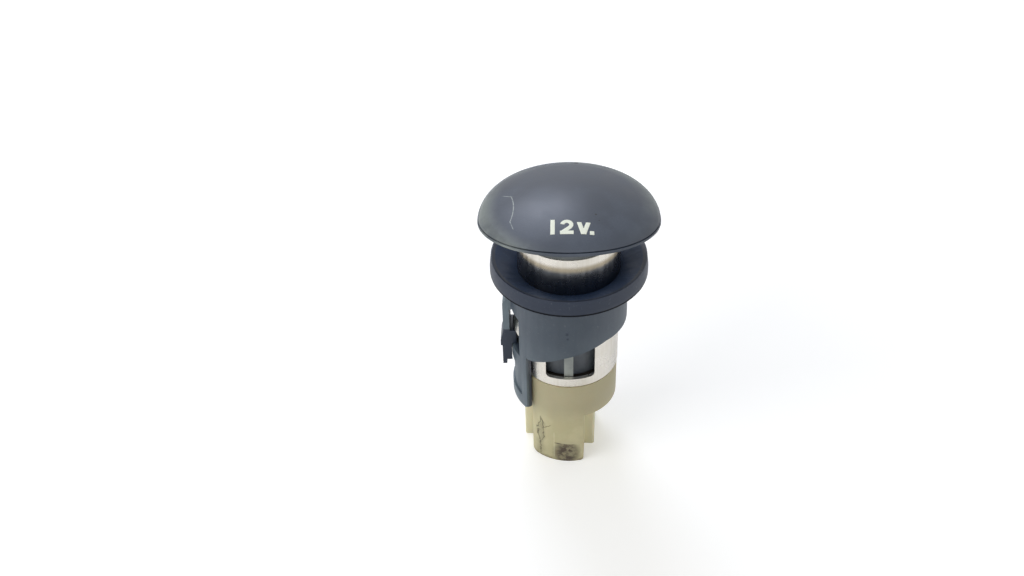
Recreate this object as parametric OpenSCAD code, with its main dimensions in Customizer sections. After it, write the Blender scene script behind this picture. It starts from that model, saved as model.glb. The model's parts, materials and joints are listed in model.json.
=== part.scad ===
// A twelve volt power socket for a car, with its domed dust cap in place.
// Lengths are in millimetres. The socket stands on its connector, +Z runs up
// along the bore, and -Y is the side that faces the viewer.

/* [Cap] */
// Radius of the domed head, seen from above
dome_radius = 19.9; // [18.5:0.1:21]
// Height of the dome above its widest line
dome_rise = 6.7; // [6:0.1:7.5]
// Radius of the turned-over edge of the dome
dome_edge_radius = 3.6; // [3.2:0.1:4]
// Wall of the dome
dome_wall = 1.9; // [1.5:0.1:2.2]
// Tilt of the rim where it rises to a finger grip at the front and the back
rim_tilt = 10.4; // [6:0.1:12]
// Radius that rounds the rim between the two tilts
rim_round = 14; // [8:0.5:20]
// Height of the lip round the rim
lip_height = 0.3; // [0.2:0.05:0.6]
// How far the lip stands out of the dome
lip_out = 0.15; // [0.1:0.05:0.3]
// Height of the crease above the lip
crease_height = 0.2; // [0.15:0.05:0.4]
// Depth of the crease above the lip
crease_depth = 0.3; // [0.2:0.05:0.5]
// Height of the neck between the barrel's rim and the widest line of the dome
neck_height = 2.6; // [2:0.1:3.2]
// Radius of the neck
neck_radius = 11.3; // [11:0.05:11.5]
// Clearance round the neck where the dome holds it
neck_clearance = 0.15; // [0.1:0.05:0.2]
// How far the neck reaches up inside the dome
neck_reach = 2.4; // [2:0.1:2.6]
// Thickness of the web that closes the neck
neck_web = 1.5; // [1.2:0.1:1.8]
// Wall of the ring that holds the neck inside the dome
neck_ring_wall = 1.4; // [1:0.1:1.8]
// Thickness of the stiffening ribs under the dome
dome_rib = 1.1; // [0.8:0.1:1.4]
// Number of stiffening ribs under the dome
dome_rib_count = 12; // [8:2:16]

/* [Plug of the cap] */
// Gap between the bottom of the plug and the insulator in the barrel
plug_foot_gap = 0.5; // [0.4:0.1:1.2]
// Running clearance between the guiding land and the bore
land_clearance = 0.06; // [0.03:0.01:0.1]
// Height of the guiding land below the neck
land_height = 6; // [4:0.5:8]
// Clearance between the ribs of the plug and the bore
rib_clearance = 0.3; // [0.2:0.05:0.5]
// How far the ribs stand out of the plug
rib_out = 0.75; // [0.5:0.05:1]
// Width of each rib on the plug
rib_width = 2.1; // [1.5:0.1:2.6]
// Number of ribs round the plug
rib_count = 8; // [4:4:8]
// Wall of the hollow plug
plug_wall = 1.4; // [1.2:0.1:1.8]
// Height of the spring band round the plug
band_height = 2; // [1.4:0.1:2.6]
// Thickness of the spring band
band_wall = 0.6; // [0.4:0.05:0.7]
// Distance from the neck down to the spring band
band_drop = 15; // [12:0.5:18]
// Gap in the spring band
band_gap = 3; // [2:0.5:4]

/* [Barrel] */
// Radius of the bore, for a standard plug of the 12 V kind
bore_radius = 10.7; // [10.6:0.05:10.8]
// Wall of the drawn metal barrel
barrel_wall = 0.9; // [0.8:0.05:1]
// Length of the barrel
barrel_length = 37.1; // [36:0.1:38.5]
// Rounding of the drawn edge at the bottom of the barrel
barrel_edge = 0.7; // [0.4:0.1:0.8]
// Left edge of the window, as an angle from the front
window_left = 27; // [22:0.5:29]
// Right edge of the window, as an angle from the front
window_right = 31; // [26:0.5:33]
// Height of the window's bottom edge above the bottom of the barrel
window_lift = 2.7; // [2.2:0.1:3.2]
// Height of the window
window_height = 10; // [8.5:0.5:12]
// Rounding of the window's corners
window_round = 0.9; // [0.6:0.1:1.8]
// Radius of the hole through the bottom of the barrel
barrel_hole = 3; // [2.8:0.1:3.2]
// Width of the tongue bent out of the barrel, behind the latch
tongue_width = 13.4; // [12:0.2:13.6]
// Height of the tongue
tongue_height = 5.2; // [4.6:0.1:5.6]
// How far the tongue's free end stands out of the barrel
tongue_out = 1.5; // [1:0.1:1.7]
// Thickness of the tongue
tongue_wall = 0.7; // [0.5:0.05:0.8]
// Height of the opening that the tongue was cut from
tongue_opening = 10.2; // [9.4:0.1:10.4]

/* [Bezel] */
// Distance of the flange's top edge below the barrel's rim
flange_drop = 6.5; // [6:0.1:7]
// Radius of the flange
flange_radius = 17.8; // [17.2:0.1:18.4]
// Radius of the flange's top edge
flange_top_radius = 17.5; // [17:0.1:17.8]
// Height of the flange's side
flange_height = 3.9; // [3.6:0.1:4.4]
// Depth of the dish at the barrel
dish_depth = 2.9; // [2.2:0.1:3.1]
// Width of the flat top of the rim round the dish
dish_rim = 0.35; // [0.2:0.05:0.6]
// Outer radius of the skirt below the flange
skirt_radius = 13.45; // [13.3:0.05:13.6]
// Gap between the skirt and the barrel
skirt_gap = 0.35; // [0.25:0.05:0.45]
// Gap between the bezel's guiding land and the barrel
bezel_clearance = 0.05; // [0.03:0.01:0.1]
// Height of the guiding land inside the bezel
bezel_land = 4; // [3:0.5:5]
// Height of the skirt's short side below the flange
skirt_short = 13; // [12.4:0.1:13.6]
// Height of the skirt at the bend of its slanting edge
skirt_middle = 16; // [15.4:0.1:16.6]
// Height of the skirt where its slanting edge meets the leg
skirt_long = 19.5; // [18.9:0.1:20.1]
// Where the slanting edge starts on the short side, as a share of the skirt's radius
slant_start_share = 0.63; // [0.55:0.01:0.7]
// Where the slanting edge bends, as a share of the skirt's radius
slant_bend_share = 0.09; // [0.04:0.01:0.14]
// Where the slanting edge meets the leg, as a share of the skirt's radius
slant_end_share = 0.656; // [0.6:0.005:0.7]
// Height of the leg below the flange
leg_length = 35.7; // [35.2:0.1:36]
// Half angle of the leg, whose edges are cut towards the axis
leg_angle = 43; // [41:0.5:45]
// Rounding of the leg's bottom corners
leg_round = 0.9; // [0.6:0.1:1.6]
// Half angle of the shallow recess in the leg
recess_angle = 34; // [31:0.5:36]
// Distance of the recess's bottom above the leg's bottom
recess_lift = 3; // [2.4:0.1:3.4]
// Height of the recess in the leg
recess_height = 8.1; // [7.4:0.1:8.4]
// Depth of the recess in the leg
recess_depth = 0.5; // [0.3:0.05:0.6]
// Half angle of the slot in the skirt
slot_angle = 32; // [29:0.5:34]
// Distance of the slot's top below the flange
slot_drop = 9.8; // [9.2:0.1:10.4]
// Height of the slot
slot_height = 10.9; // [10.2:0.1:11.4]

/* [Latch] */
// Gap between the latch and the skirt
latch_gap = 0.3; // [0.25:0.05:0.4]
// Thickness of the latch's arm
latch_wall = 1.5; // [1.2:0.05:1.7]
// Width of the latch
latch_width = 6; // [5:0.1:7]
// Distance of the arm's root below the flange
latch_root = 7.2; // [6.6:0.1:7.8]
// Height of the root that joins the arm to the skirt
latch_root_height = 1.4; // [1.2:0.1:1.8]
// Rounding of the arm's outer corner at its root
latch_shoulder = 1.5; // [1:0.1:1.7]
// Distance from the flange down to the latch's head
latch_arm = 16.6; // [16:0.1:17.2]
// Height of the latch's head
latch_head = 8.8; // [8.2:0.1:9.4]
// How far the head stands out beyond the arm
latch_head_out = 0.3; // [0.2:0.05:0.4]
// How far the tooth stands out beyond the head
latch_tooth_out = 0.4; // [0.3:0.05:0.6]
// Height of the tooth
latch_tooth = 3; // [2.4:0.1:3.4]
// Length of the narrow tail below the head
latch_tail = 1.3; // [1:0.1:1.8]
// Thickness of the narrow tail
latch_tail_wall = 0.95; // [0.8:0.05:1.2]
// Gap between the latch's head and the leg
latch_head_gap = 0.2; // [0.15:0.05:0.35]

/* [Contact stack] */
// Thickness of the insulating disc in the barrel
disc_wall = 1.2; // [1:0.1:1.5]
// Clearance round the insulating disc
disc_clearance = 0.1; // [0.05:0.01:0.2]
// Radius of the threaded stud
stud_radius = 1.5; // [1.4:0.05:1.6]
// Clearance round the stud
stud_clearance = 0.15; // [0.1:0.05:0.2]
// Radius of the stud's head
stud_head = 2.8; // [2.6:0.1:3]
// Height of the stud's head
stud_head_height = 1.5; // [1.2:0.1:1.8]
// Radius of the round base of the centre contact
contact_radius = 5.2; // [4.8:0.1:5.6]
// Thickness of the centre contact's sheet
contact_wall = 0.5; // [0.4:0.05:0.6]
// Height of the centre contact's petals
petal_height = 4.6; // [4:0.1:5]
// Width of the slots between the petals
petal_slot = 1.8; // [1.4:0.1:2.2]
// Thickness of the terminals
blade_wall = 0.8; // [0.7:0.05:0.9]
// Width of the terminal blades
blade_width = 4.8; // [4.4:0.1:5]
// Distance of the blades' outer faces from the axis
blade_reach = 4.8; // [4.7:0.05:4.9]
// Distance of the blades' tips above the connector's mouth
blade_inset = 3; // [2.4:0.1:3.6]
// Chamfer on the blades' tips
blade_chamfer = 0.9; // [0.6:0.1:1.2]
// Outer radius of the plain washer
washer_radius = 3.5; // [3.3:0.1:3.6]
// Thickness of the plain washer
washer_wall = 0.7; // [0.5:0.1:0.9]
// Outer radius of the split washer
split_radius = 2.6; // [2.5:0.05:2.8]
// Thickness of the split washer
split_wall = 0.8; // [0.7:0.1:1]
// Gap in the split washer
split_gap = 0.8; // [0.6:0.1:1]
// Width of the nut across its flats
nut_flats = 5.5; // [5.3:0.05:5.6]
// Height of the nut
nut_height = 2.4; // [2:0.1:2.8]
// Length of stud that stands out of the nut
stud_end = 1.2; // [0.8:0.1:1.6]

/* [Connector] */
// Turn of the connector about the bore's axis
connector_turn = 2.5; // [0:0.5:8]
// Distance of the connector's block to the latch side of the axis
connector_shift = 2.1; // [1.9:0.1:2.2]
// Height of the connector's block below its collar
connector_height = 15; // [14.4:0.1:15.6]
// Height of the round collar
collar_height = 9.6; // [9.2:0.1:10]
// Radius of the round collar
collar_radius = 11.45; // [11.2:0.05:11.6]
// Wall of the round collar
collar_wall = 1.5; // [1.3:0.1:1.7]
// Thickness of the collar's top
collar_top = 2; // [1.8:0.1:2.3]
// Thickness of the floor between the collar and the block
floor_wall = 1.5; // [1.3:0.1:1.7]
// Width of the block, whose front is round like the collar
block_width = 12.4; // [11.8:0.1:13]
// Rounding of the block's bottom corner on the latch side
corner_round = 1.2; // [0.8:0.1:1.2]
// Rounding of the block's other bottom corner
small_round = 0.8; // [0.6:0.1:1.2]
// Overall width of the wings
wing_width = 17.2; // [17:0.1:17.6]
// Distance of the wing's front face from the axis, on the latch side
wing_front_latch = 2.5; // [2.2:0.1:2.8]
// Distance of the other wing's front face from the axis
wing_front = 5.1; // [4.8:0.1:5.4]
// Distance of the wings' back faces from the axis
wing_back = 6.4; // [6:0.1:6.8]
// Wall of the block and the wings
shroud_wall = 1.3; // [1.2:0.05:1.4]
// Radius of the way in for the nut
way_radius = 3.4; // [3.3:0.05:3.5]
// Rounding of the block's upright edges
upright_round = 0.6; // [0.4:0.1:0.8]
// Clearance round the terminals in the connector
blade_clearance = 0.1; // [0.05:0.01:0.2]

/* [Cap fixing] */
// Radius of the cap's screw
screw_radius = 1.5; // [1.4:0.05:1.6]
// Clearance round the cap's screw
screw_clearance = 0.1; // [0.05:0.05:0.15]
// Radius of the screw's head
screw_head = 2.8; // [2.6:0.1:3]
// Height of the screw's head
screw_head_height = 1.9; // [1.6:0.1:2.2]
// Width of the cross in the screw's head
screw_cross = 0.8; // [0.6:0.05:1]
// Radius of the screw's washer
screw_washer = 4; // [3.6:0.1:4.4]
// Thickness of the screw's washer
screw_washer_wall = 0.7; // [0.5:0.1:0.8]
// Radius of the boss under the dome
boss_radius = 3.4; // [3:0.1:3.8]
// Depth of the screw in the boss
screw_bite = 2; // [1.6:0.1:2.2]

/* [Hidden] */
$fn = 96;

barrel_outer = bore_radius + barrel_wall;
z_collar = connector_height;
z_barrel = connector_height + collar_height;
z_rim = z_barrel + barrel_length;
z_flange_top = z_rim - flange_drop;
z_flange = z_flange_top - flange_height;
z_dome = z_rim + neck_height;
z_neck_top = z_dome + neck_reach;
z_web = z_neck_top - neck_web;
neck_seat = neck_radius + neck_clearance;

dome_inset_x = dome_radius - dome_edge_radius;
dome_big_radius = (dome_inset_x * dome_inset_x + dome_rise * dome_rise
  - dome_edge_radius * dome_edge_radius) / (2 * (dome_rise - dome_edge_radius));
dome_big_z = dome_rise - dome_big_radius;
dome_join = dome_edge_radius / (dome_big_radius - dome_edge_radius);
dome_join_x = dome_inset_x * (1 + dome_join);

land_radius = bore_radius - land_clearance;
rib_radius = bore_radius - rib_clearance;
core_radius = rib_radius - rib_out;
plug_inner = core_radius - plug_wall;
z_disc = z_barrel + barrel_wall;
z_disc_top = z_disc + disc_wall;
z_plug = z_disc_top + plug_foot_gap;
z_band = z_rim - band_drop;
band_inner = land_radius - band_wall;
z_contact_top = z_disc_top + contact_wall;

skirt_inner = barrel_outer + skirt_gap;
bezel_inner = barrel_outer + bezel_clearance;
z_dish = z_flange_top - dish_depth;
z_skirt_short = z_flange - skirt_short;
z_skirt_middle = z_flange - skirt_middle;
z_skirt_long = z_flange - skirt_long;
z_leg = z_flange - leg_length;
z_slot_top = z_flange - slot_drop;
z_slot = z_slot_top - slot_height;
z_recess = z_leg + recess_lift;
z_tongue = z_slot_top - skirt_gap;

latch_inner = skirt_radius + latch_gap;
latch_outer = latch_inner + latch_wall;
z_latch_root = z_flange - latch_root;
z_latch_head = z_flange - latch_arm;
z_latch_foot = z_latch_head - latch_head;

z_collar_top = z_barrel;
z_web_under = z_collar_top - collar_top;
z_chamber = z_collar + floor_wall;
z_ground = z_collar_top - blade_wall;
z_positive = z_web_under - blade_wall;
z_washer = z_positive - washer_wall;
z_split = z_washer - split_wall;
z_nut = z_split - nut_height;
z_stud = z_nut - stud_end;
stud_hole = stud_radius + stud_clearance;
spigot_radius = barrel_hole - disc_clearance;
ground_hole = barrel_hole + disc_clearance;

span = 4 * dome_radius;

module half_dome(grow, cut) {
  // half outline of the dome, grown or shrunk by one distance all round
  edge = dome_edge_radius + grow;
  big = dome_big_radius + grow;
  intersection() {
    translate([0, -cut])
      square([span, span]);
    union() {
      intersection() {
        translate([0, dome_big_z])
          circle(big);
        square([dome_join_x, span]);
      }
      translate([dome_inset_x, 0])
        circle(edge);
      translate([0, -cut])
        square([dome_inset_x, cut + dome_rise / 2]);
    }
  }
}

module dome_body(grow) {
  translate([0, 0, z_dome])
    rotate_extrude()
      half_dome(grow, 0);
}

module below_rim(lift) {
  // everything under the tilted rim, raised by a distance
  slope = tan(rim_tilt);
  reach = span / 2;
  touch = rim_round * sin(rim_tilt);
  centre = rim_round / cos(rim_tilt);
  translate([-span / 2, 0, z_dome + lift])
    rotate([0, 0, 90])
      rotate([90, 0, 0])
        linear_extrude(span)
          union() {
            polygon([[-reach, -reach], [reach, -reach], [reach, reach * slope], [0, 0],
              [-reach, reach * slope]]);
            difference() {
              polygon([[0, 0], [touch, touch * slope], [-touch, touch * slope]]);
              translate([0, centre])
                circle(rim_round);
            }
          }
}

module dome_hollow() {
  difference() {
    translate([0, 0, z_dome])
      rotate_extrude()
        half_dome(-dome_wall, 0);
    // ring round the neck
    difference() {
      cylinder(h = z_dome + dome_rise, r = neck_seat + neck_ring_wall);
      cylinder(h = z_dome + dome_rise, r = neck_seat);
    }
    // stiffening ribs between the ring and the wall
    for (i = [0:dome_rib_count - 1])
      rotate([0, 0, (i + 0.5) * 360 / dome_rib_count])
        translate([neck_seat + neck_ring_wall / 2, -dome_rib / 2, 0])
          cube([dome_radius, dome_rib, z_dome + dome_rise]);
    // screw boss
    cylinder(h = z_dome + dome_rise, r = boss_radius);
  }
}

module neck_room() {
  // the neck fills this space up to its own top
  cylinder(h = z_neck_top, r = neck_seat);
}

module cap_dome() {
  color("#3b3f46")
    difference() {
      union() {
        difference() {
          dome_body(0);
          below_rim(lip_height);
        }
        intersection() {
          difference() {
            dome_body(lip_out);
            below_rim(0);
          }
          below_rim(lip_height);
        }
      }
      // crease above the lip
      difference() {
        intersection() {
          dome_body(lip_out);
          below_rim(lip_height + crease_height);
        }
        union() {
          dome_body(-crease_depth);
          below_rim(lip_height);
        }
      }
      dome_hollow();
      neck_room();
      translate([0, 0, z_neck_top])
        cylinder(h = screw_bite, r = screw_radius);
    }
}

module cap_plug() {
  color("#1d1f22")
    difference() {
      union() {
        translate([0, 0, z_rim])
          cylinder(h = z_neck_top - z_rim, r = neck_radius);
        translate([0, 0, z_rim - land_height])
          cylinder(h = land_height + neck_height, r = land_radius);
        translate([0, 0, z_plug])
          cylinder(h = z_rim + neck_height - z_plug, r = core_radius);
        for (i = [0:rib_count - 1])
          rotate([0, 0, i * 360 / rib_count])
            intersection() {
              translate([-rib_width / 2, -bore_radius, z_plug])
                cube([rib_width, bore_radius, z_rim - land_height / 2 - z_plug]);
              translate([0, 0, z_plug])
                cylinder(h = z_rim - z_plug, r = rib_radius);
            }
      }
      // hollow inside, open at the foot
      cylinder(h = z_web, r = plug_inner);
      // seat of the spring band
      translate([0, 0, z_band])
        difference() {
          cylinder(h = band_height, r = bore_radius);
          cylinder(h = band_height, r = core_radius);
        }
      // screw hole
      cylinder(h = z_neck_top + neck_web, r = screw_radius + screw_clearance);
    }
}

module plug_band() {
  color("#b9b6ac")
    translate([0, 0, z_band])
      difference() {
        cylinder(h = band_height, r = band_inner + band_wall);
        cylinder(h = band_height, r = band_inner);
        translate([-band_gap / 2, 0, 0])
          cube([band_gap, bore_radius, band_height]);
      }
}

module cap_washer() {
  color("#c8c8c4")
    translate([0, 0, z_web - screw_washer_wall])
      difference() {
        cylinder(h = screw_washer_wall, r = screw_washer);
        cylinder(h = screw_washer_wall, r = screw_radius + screw_clearance);
      }
}

module cap_screw() {
  z_head = z_web - screw_washer_wall - screw_head_height;
  color("#b4b4b0")
    difference() {
      union() {
        translate([0, 0, z_head])
          cylinder(h = screw_head_height, r = screw_head);
        translate([0, 0, z_head])
          cylinder(h = z_neck_top + screw_bite - z_head, r = screw_radius);
      }
      // cross recess in the head
      translate([-screw_head / 2, -screw_cross / 2, z_head])
        cube([screw_head, screw_cross, screw_head_height / 2]);
      translate([-screw_cross / 2, -screw_head / 2, z_head])
        cube([screw_cross, screw_head, screw_head_height / 2]);
    }
}

module barrel_shell() {
  left = barrel_outer * sin(window_left);
  right = barrel_outer * sin(window_right);
  color("#d8d5cc")
    union() {
      difference() {
        translate([0, 0, z_barrel])
          rotate_extrude()
            difference() {
              union() {
                translate([0, barrel_edge])
                  square([barrel_outer, barrel_length - barrel_edge]);
                square([barrel_outer - barrel_edge, barrel_edge]);
                translate([barrel_outer - barrel_edge, barrel_edge])
                  circle(barrel_edge);
              }
              translate([0, barrel_wall])
                square([bore_radius, barrel_length]);
            }
        translate([0, 0, z_barrel])
          cylinder(h = barrel_wall, r = barrel_hole);
        // window in the front wall
        translate([-left, 0, z_barrel + window_lift])
          rotate([90, 0, 0])
            linear_extrude(span)
              rounded(left + right, window_height, window_round);
        // opening that the tongue leaves
        translate([-span, -tongue_width / 2, z_tongue - tongue_opening])
          cube([span, tongue_width, tongue_opening]);
      }
      tongue();
    }
}

module tongue() {
  // strip of the wall, bent outwards like part of a cone, rooted in the barrel above the opening
  intersection() {
    rotate_extrude()
      polygon([[bore_radius, z_tongue + tongue_wall], [barrel_outer, z_tongue + tongue_wall],
        [barrel_outer, z_tongue], [barrel_outer + tongue_out, z_tongue - tongue_height],
        [barrel_outer + tongue_out - tongue_wall, z_tongue - tongue_height],
        [barrel_outer - tongue_wall, z_tongue], [bore_radius, z_tongue]]);
    translate([-span, -tongue_width / 2, z_tongue - tongue_height])
      cube([span, tongue_width, tongue_height + tongue_wall]);
  }
}

module rounded(width, height, radius) {
  // rectangle from the corner, with rounded corners
  union() {
    translate([radius, 0])
      square([width - 2 * radius, height]);
    translate([0, radius])
      square([width, height - 2 * radius]);
    for (x = [radius, width - radius])
      for (y = [radius, height - radius])
        translate([x, y])
          circle(radius);
  }
}

module bezel_ring() {
  rotate_extrude()
    difference() {
      union() {
        polygon([[0, z_flange], [flange_radius, z_flange],
          [flange_radius, z_flange + flange_height / 3],
          [flange_top_radius, z_flange_top], [flange_top_radius - dish_rim, z_flange_top],
          [bezel_inner, z_dish], [0, z_dish]]);
        translate([0, z_leg])
          square([skirt_radius, leg_length]);
      }
      square([skirt_inner, z_dish - bezel_land]);
      square([bezel_inner, z_flange_top + flange_height]);
    }
}

module skirt_side() {
  // side view of the skirt above its slanting edge, with the flange
  x_short = slant_start_share * skirt_radius;
  top = z_flange_top + flange_height;
  translate([0, span / 2, 0])
    rotate([90, 0, 0])
      linear_extrude(span)
        polygon([[-span, top], [-span, z_skirt_long],
          [-slant_end_share * skirt_radius, z_skirt_long],
          [-slant_bend_share * skirt_radius, z_skirt_middle],
          [x_short, z_skirt_short], [span, z_skirt_short], [span, top]]);
}

module leg_sector() {
  // the leg's edges are cut towards the axis and its bottom corners are rounded
  half = skirt_radius * sin(leg_angle);
  reach = span * cos(leg_angle);
  side = span * sin(leg_angle);
  intersection() {
    translate([0, 0, z_leg])
      linear_extrude(leg_length)
        polygon([[0, 0], [-reach, side], [-span, 0], [-reach, -side]]);
    rotate([90, 0, -90])
      linear_extrude(span)
        translate([-half, z_leg])
          rounded(2 * half, leg_length, leg_round);
  }
}

module latch() {
  // side view of the arm with its root in the skirt, and of the head, the tooth and the tail
  x_root = -(skirt_inner + skirt_radius) / 2;
  x_inner = -skirt_inner - latch_gap;
  x_head = -latch_outer - latch_head_out;
  x_tooth = x_head - latch_tooth_out;
  z_slope = z_latch_head - latch_head / 6;
  z_tail = z_latch_foot - latch_tail;
  difference() {
    translate([0, latch_width / 2, 0])
      rotate([90, 0, 0])
        linear_extrude(latch_width)
          union() {
            translate([latch_shoulder - latch_outer, z_latch_root - latch_shoulder])
              circle(latch_shoulder);
            polygon([[x_root, z_latch_root], [latch_shoulder - latch_outer, z_latch_root],
              [latch_shoulder - latch_outer, z_latch_root - latch_shoulder],
              [-latch_outer, z_latch_root - latch_shoulder], [-latch_outer, z_latch_head],
              [x_head, z_slope], [x_tooth, z_slope - latch_tooth / 2],
              [x_tooth, z_slope - latch_tooth], [x_head, z_slope - latch_tooth],
              [x_head, z_tail], [x_head + latch_tail_wall, z_tail],
              [x_head + latch_tail_wall, z_latch_foot],
              [x_inner, z_latch_foot], [x_inner, z_latch_head],
              [-latch_inner, z_latch_head], [-latch_inner, z_latch_root - latch_root_height],
              [x_root, z_latch_root - latch_root_height]]);
          }
    // the head is hollowed to stand clear of the leg, up to the slot
    translate([0, 0, z_tail])
      cylinder(h = z_slot + latch_gap - z_tail, r = skirt_radius + latch_head_gap);
  }
}

module bezel_housing() {
  slot_half = skirt_radius * sin(slot_angle);
  recess_half = skirt_radius * sin(recess_angle);
  color("#4a5057")
    union() {
      difference() {
        intersection() {
          bezel_ring();
          union() {
            skirt_side();
            leg_sector();
          }
        }
        // slot behind the latch
        translate([-span, -slot_half, z_slot])
          cube([span, 2 * slot_half, slot_height]);
        // shallow recess in the leg
        intersection() {
          translate([-span, -recess_half, z_recess])
            cube([span, 2 * recess_half, recess_height]);
          difference() {
            cylinder(h = z_flange, r = skirt_radius + latch_gap);
            cylinder(h = z_flange, r = skirt_radius - recess_depth);
          }
        }
      }
      latch();
    }
}

module insulator_disc() {
  color("#4a3328")
    difference() {
      union() {
        translate([0, 0, z_disc])
          cylinder(h = disc_wall, r = bore_radius - disc_clearance);
        translate([0, 0, z_barrel])
          cylinder(h = barrel_wall + disc_wall, r = spigot_radius);
      }
      translate([0, 0, z_barrel])
        cylinder(h = barrel_wall + disc_wall, r = stud_hole);
    }
}

module centre_contact() {
  color("#c9a95c")
    translate([0, 0, z_disc_top])
      union() {
        linear_extrude(contact_wall)
          difference() {
            circle(contact_radius);
            circle(stud_hole);
          }
        // six upright petals
        linear_extrude(petal_height)
          difference() {
            circle(contact_radius);
            circle(contact_radius - contact_wall);
            for (turn = [0, 60, 120])
              rotate(turn)
                translate([-petal_slot / 2, -contact_radius - contact_wall])
                  square([petal_slot, 2 * (contact_radius + contact_wall)]);
          }
      }
}

module contact_stud() {
  color("#c4c2ba")
    union() {
      translate([0, 0, z_stud])
        cylinder(h = z_contact_top + stud_head_height / 2 - z_stud, r = stud_radius);
      translate([0, 0, z_contact_top])
        rotate_extrude()
          polygon([[0, 0], [stud_head, 0], [stud_head, stud_head_height / 2],
            [stud_head - stud_head_height / 2, stud_head_height], [0, stud_head_height]]);
    }
}

module blade(z_top) {
  // upright blade with a chamfered tip, its outer face at the given reach
  rotate([0, 0, 90])
    rotate([90, 0, 0])
      translate([0, 0, blade_reach - blade_wall])
        linear_extrude(blade_wall)
          polygon([[-blade_width / 2, z_top], [-blade_width / 2, blade_inset + blade_chamfer],
            [-blade_width / 2 + blade_chamfer, blade_inset],
            [blade_width / 2 - blade_chamfer, blade_inset],
            [blade_width / 2, blade_inset + blade_chamfer], [blade_width / 2, z_top]]);
}

module terminal_ring(z, radius, hole) {
  translate([0, 0, z])
    linear_extrude(blade_wall)
      difference() {
        union() {
          intersection() {
            circle(radius);
            translate([-span, -span])
              square([span + blade_reach, 2 * span]);
          }
          translate([0, -blade_width / 2])
            square([blade_reach, blade_width]);
        }
        circle(hole);
      }
}

module ground_terminal() {
  color("#c2bfb4")
    turned()
      mirror([1, 0, 0])
        union() {
          terminal_ring(z_ground, blade_reach, ground_hole);
          blade(z_ground + blade_wall);
        }
}

module positive_terminal() {
  color("#c2b280")
    turned()
      union() {
        terminal_ring(z_positive, washer_radius, stud_hole);
        blade(z_positive + blade_wall);
      }
}

module plain_washer() {
  color("#c9c9c6")
    translate([0, 0, z_washer])
      difference() {
        cylinder(h = washer_wall, r = washer_radius);
        cylinder(h = washer_wall, r = stud_hole);
      }
}

module split_washer() {
  color("#8c8c88")
    translate([0, 0, z_split])
      difference() {
        cylinder(h = split_wall, r = split_radius);
        cylinder(h = split_wall, r = stud_hole);
        translate([0, -split_gap / 2, 0])
          cube([split_radius, split_gap, split_wall]);
      }
}

module hex_nut() {
  color("#bdbbb2")
    translate([0, 0, z_nut])
      difference() {
        linear_extrude(nut_height)
          circle(nut_flats / sqrt(3), $fn = 6);
        cylinder(h = nut_height, r = stud_radius);
      }
}

module turned() {
  rotate([0, 0, -connector_turn])
    children();
}

module block_plan(inset) {
  // plan of the block, shrunk all round: its front follows the collar
  intersection() {
    translate([inset - connector_shift - block_width / 2, -2 * collar_radius])
      rounded(block_width - 2 * inset, 2 * collar_radius + wing_back - inset, upright_round);
    circle(collar_radius - inset);
  }
}

module wing_plan(inset) {
  // plan of both wings, shrunk all round
  half = wing_width / 2 - inset;
  translate([-connector_shift, 0]) {
    translate([-half, inset - wing_front_latch])
      rounded(half + block_width / 2, wing_front_latch + wing_back - 2 * inset, upright_round);
    translate([-block_width / 2, inset - wing_front])
      rounded(half + block_width / 2, wing_front + wing_back - 2 * inset, upright_round);
  }
}

module block_front_view() {
  // front view of the block, rounded at its two bottom corners
  left = -connector_shift - block_width / 2;
  right = block_width / 2 - connector_shift;
  union() {
    translate([left, corner_round])
      square([block_width, z_chamber - corner_round]);
    translate([left + corner_round, 0])
      square([block_width - corner_round - small_round, z_chamber]);
    translate([right - small_round, small_round])
      square([small_round, z_chamber - small_round]);
    translate([left + corner_round, corner_round])
      circle(corner_round);
    translate([right - small_round, small_round])
      circle(small_round);
  }
}

module connector_housing() {
  slot = blade_wall + 2 * blade_clearance;
  color("#e6dcc0")
    turned()
      difference() {
        union() {
          translate([0, 0, z_collar])
            cylinder(h = collar_height, r = collar_radius);
          linear_extrude(z_chamber)
            wing_plan(0);
          intersection() {
            linear_extrude(z_chamber)
              block_plan(0);
            translate([0, span / 2, 0])
              rotate([90, 0, 0])
                linear_extrude(span)
                  block_front_view();
          }
        }
        // chamber between the floor and the collar's top
        translate([0, 0, z_chamber])
          cylinder(h = z_web_under - z_chamber, r = collar_radius - collar_wall);
        // shroud open at the bottom
        linear_extrude(z_collar)
          union() {
            block_plan(shroud_wall);
            wing_plan(shroud_wall);
          }
        // way in for the nut
        cylinder(h = z_chamber, r = way_radius);
        // stud hole and seat of the ground terminal in the collar's top
        cylinder(h = z_collar_top, r = stud_hole);
        translate([0, 0, z_ground])
          cylinder(h = blade_wall, r = blade_reach + blade_clearance);
        // slots for the blades
        for (side = [-1, 1])
          translate([side * (blade_reach - blade_wall / 2) - slot / 2,
              -blade_width / 2 - blade_clearance, 0])
            cube([slot, blade_width + 2 * blade_clearance,
              (side < 0) ? z_collar_top : z_web_under]);
      }
}

cap_dome();
cap_plug();
plug_band();
cap_washer();
cap_screw();
barrel_shell();
bezel_housing();
insulator_disc();
centre_contact();
contact_stud();
ground_terminal();
positive_terminal();
plain_washer();
split_washer();
hex_nut();
connector_housing();
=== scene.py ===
import json
import math
from functools import partial

import bmesh
import bpy
import numpy as np
from mathutils import Matrix, Vector


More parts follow.
